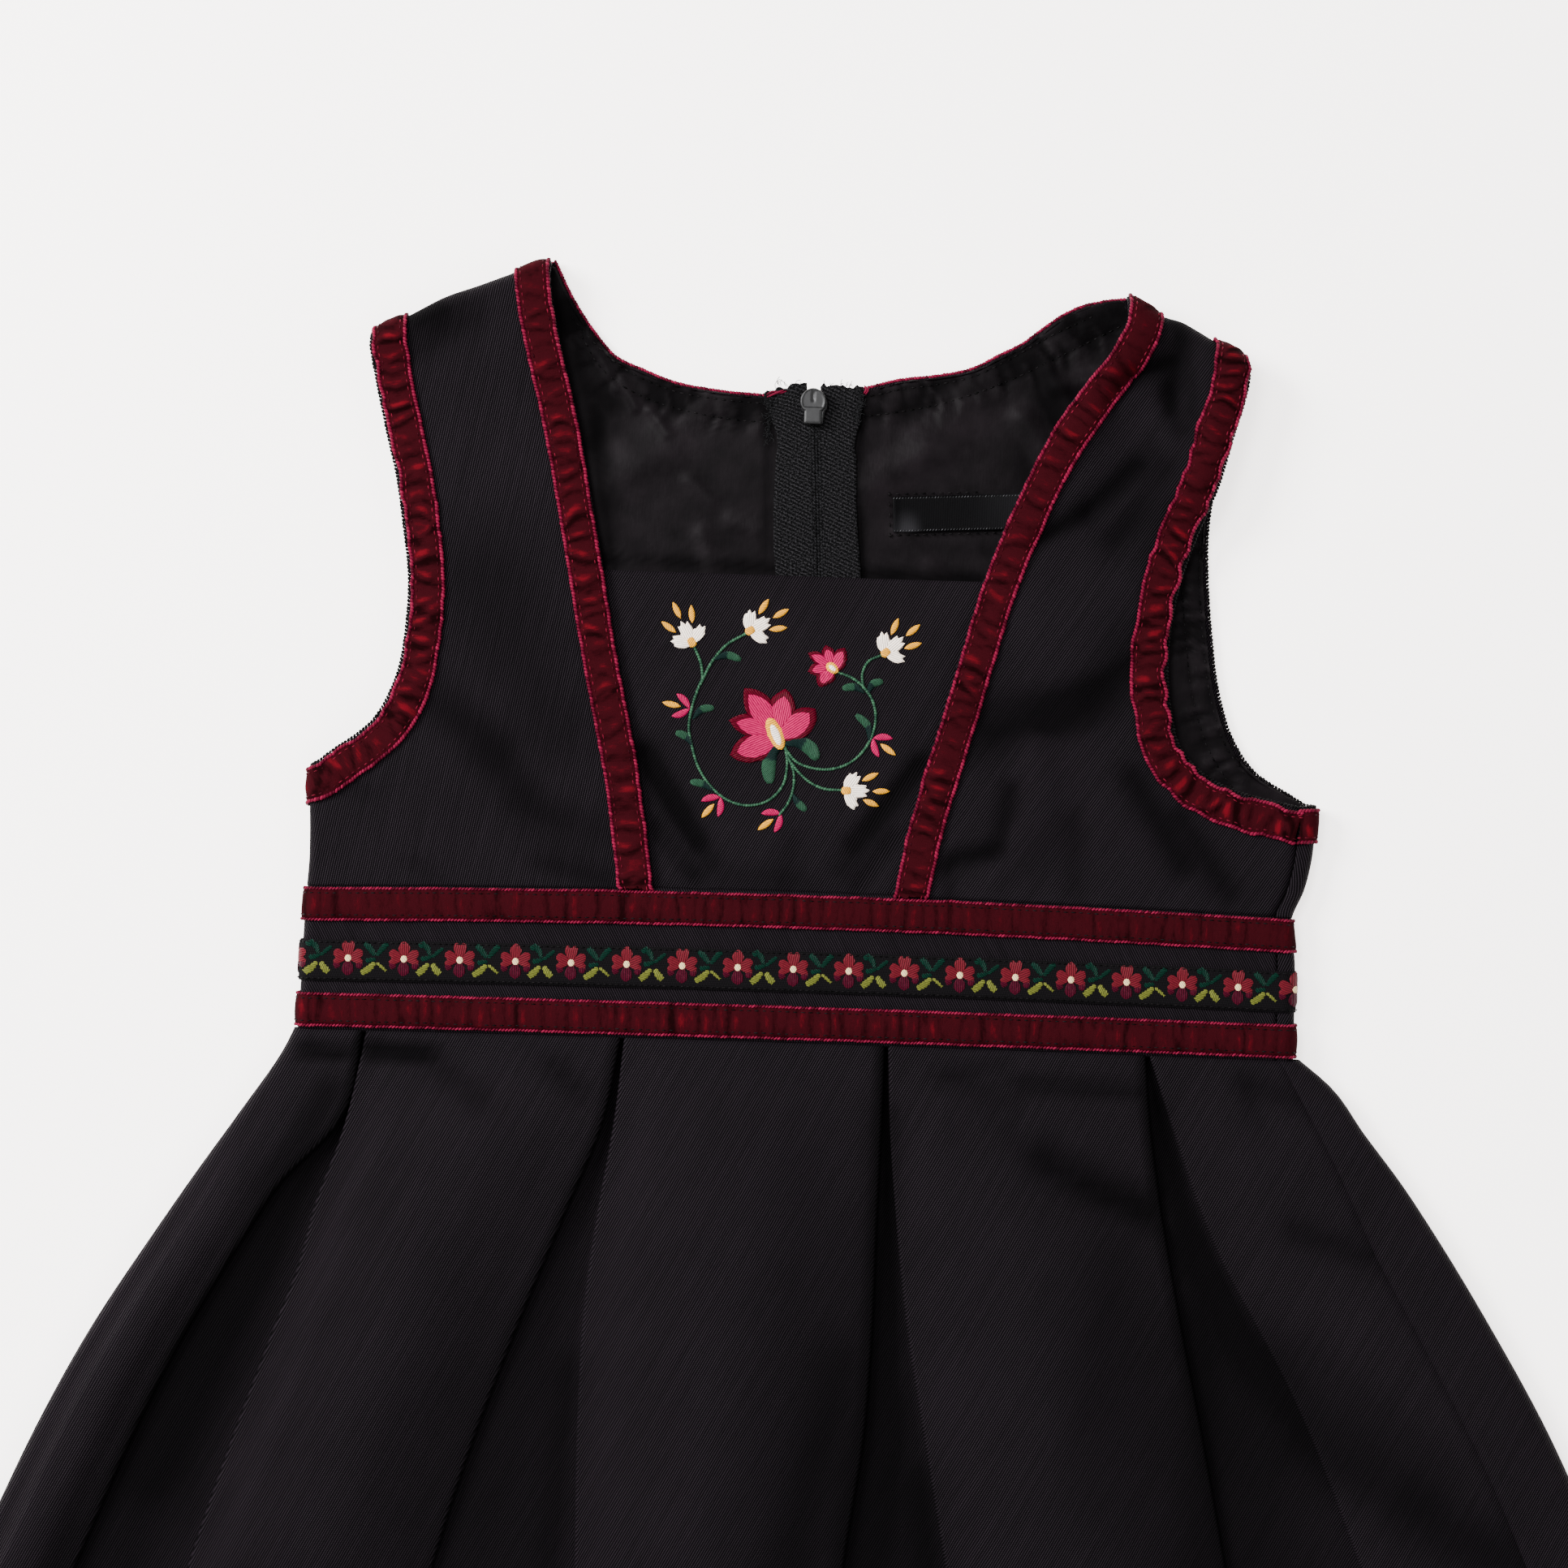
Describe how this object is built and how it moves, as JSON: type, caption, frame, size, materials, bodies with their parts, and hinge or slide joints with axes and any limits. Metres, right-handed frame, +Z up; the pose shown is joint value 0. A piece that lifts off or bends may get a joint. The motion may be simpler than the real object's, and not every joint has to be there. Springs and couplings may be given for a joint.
{
  "type": "folk-dress pinafore",
  "caption": "Girl's sleeveless folk-dress pinafore laid flat on its back: velvet-edged V front, embroidered insert, woven waistband and pleated skirt.",
  "frame": {"origin": "on the surface under the middle of the garment's outline", "axes": "+Z up from the surface, through the back and then the front; +Y towards the neck, +X towards the garment's right as seen from above"},
  "size_m": [0.5907, 0.5824, 0.0162],
  "materials": {
    "black_twill": "near-black twill with a soft blue and brown sheen",
    "lining_satin": "black satin lining",
    "velvet": "dark red velvet ribbon with satin edges",
    "floral_band": "black woven ribbon with small red flowers and green leaves",
    "zip_tape": "black knitted zip tape",
    "slider_metal": "dark grey cast metal, satin",
    "label_satin": "blank black satin label"
  },
  "bodies": {
    "dress": {"front_left": "black_twill", "front_right": "black_twill", "front_insert": "black_twill", "back_left": "black_twill", "back_right": "black_twill", "waistband_front": "black_twill", "waistband_back_left": "black_twill", "waistband_back_right": "black_twill", "skirt_front": "black_twill", "skirt_back_left": "black_twill", "skirt_back_right": "black_twill", "lining_left": "lining_satin", "lining_right": "lining_satin", "neck_ribbon_left": "velvet", "neck_ribbon_right": "velvet", "armhole_ribbon_left": "velvet", "armhole_ribbon_right": "velvet", "back_neck_ribbon_left": "velvet", "back_neck_ribbon_right": "velvet", "back_armhole_ribbon_left": "velvet", "back_armhole_ribbon_right": "velvet", "waist_upper": "velvet", "waist_lower": "velvet", "waist_floral": "floral_band", "zip_tape_left": "zip_tape", "zip_tape_right": "zip_tape", "zip_slider": "slider_metal", "label": "label_satin"},
    "pull_tab": {"zip_pull": "slider_metal"}
  },
  "joints": [
    {"name": "pull_hinge", "type": "hinge", "parent": "dress", "child": "pull_tab", "pos_m": [-0.0037, 0.2504, 0.0012], "axis": [1, 0, 0], "range_deg": [0, 170]}
  ]
}
